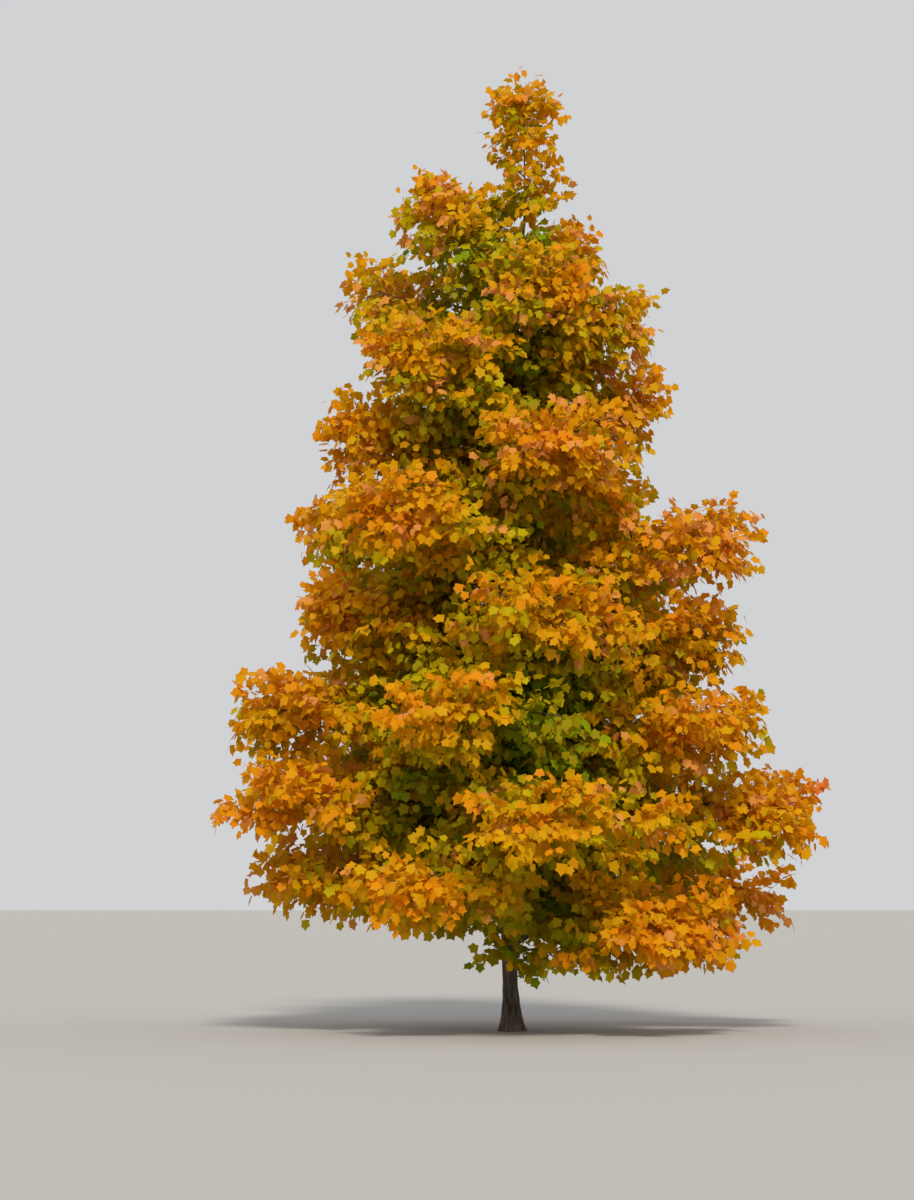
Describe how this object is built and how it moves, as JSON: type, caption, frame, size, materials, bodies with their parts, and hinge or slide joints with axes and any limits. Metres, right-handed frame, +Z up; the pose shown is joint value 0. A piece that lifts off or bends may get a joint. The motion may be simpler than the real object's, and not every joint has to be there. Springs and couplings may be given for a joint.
{
  "type": "red maple tree",
  "caption": "Young broadleaf tree in orange autumn leaf: a single flared trunk, tiers of rising boughs and a dense conical crown of foliage masses down to near the ground.",
  "frame": {"origin": "middle of the flat cut under the trunk, at ground level", "axes": "+Z up along the tree; -Y faces the side that the picture shows, with +X to its right"},
  "size_m": [6.0362, 6.2107, 9.6872],
  "materials": {
    "bark": "rough grey-brown bark",
    "leaves": "matt orange-gold leaves"
  },
  "bodies": {
    "root": {"trunk": "bark", "bough_1a": "bark", "bough_1b": "bark", "bough_1c": "bark", "bough_1d": "bark", "bough_1e": "bark", "bough_2a": "bark", "bough_2b": "bark", "bough_2c": "bark", "bough_2d": "bark", "bough_2e": "bark", "bough_3a": "bark", "bough_3b": "bark", "bough_3c": "bark", "bough_3d": "bark", "bough_3e": "bark", "bough_4a": "bark", "bough_4b": "bark", "bough_4c": "bark", "bough_4d": "bark", "bough_4e": "bark", "foliage_1a": "leaves", "foliage_1b": "leaves", "foliage_1c": "leaves", "foliage_1d": "leaves", "foliage_1e": "leaves", "foliage_2a": "leaves", "foliage_2b": "leaves", "foliage_2c": "leaves", "foliage_2d": "leaves", "foliage_2e": "leaves", "foliage_3a": "leaves", "foliage_3b": "leaves", "foliage_3c": "leaves", "foliage_3d": "leaves", "foliage_3e": "leaves", "foliage_4a": "leaves", "foliage_4b": "leaves", "foliage_4c": "leaves", "foliage_4d": "leaves", "foliage_4e": "leaves", "foliage_5a": "leaves", "foliage_5b": "leaves", "foliage_5c": "leaves", "foliage_5d": "leaves", "foliage_6a": "leaves", "foliage_6b": "leaves", "foliage_6c": "leaves", "foliage_6d": "leaves", "foliage_7a": "leaves", "foliage_7b": "leaves", "foliage_7c": "leaves", "foliage_8a": "leaves", "foliage_8b": "leaves", "foliage_8c": "leaves", "foliage_9a": "leaves", "foliage_top": "leaves"}
  },
  "joints": []
}
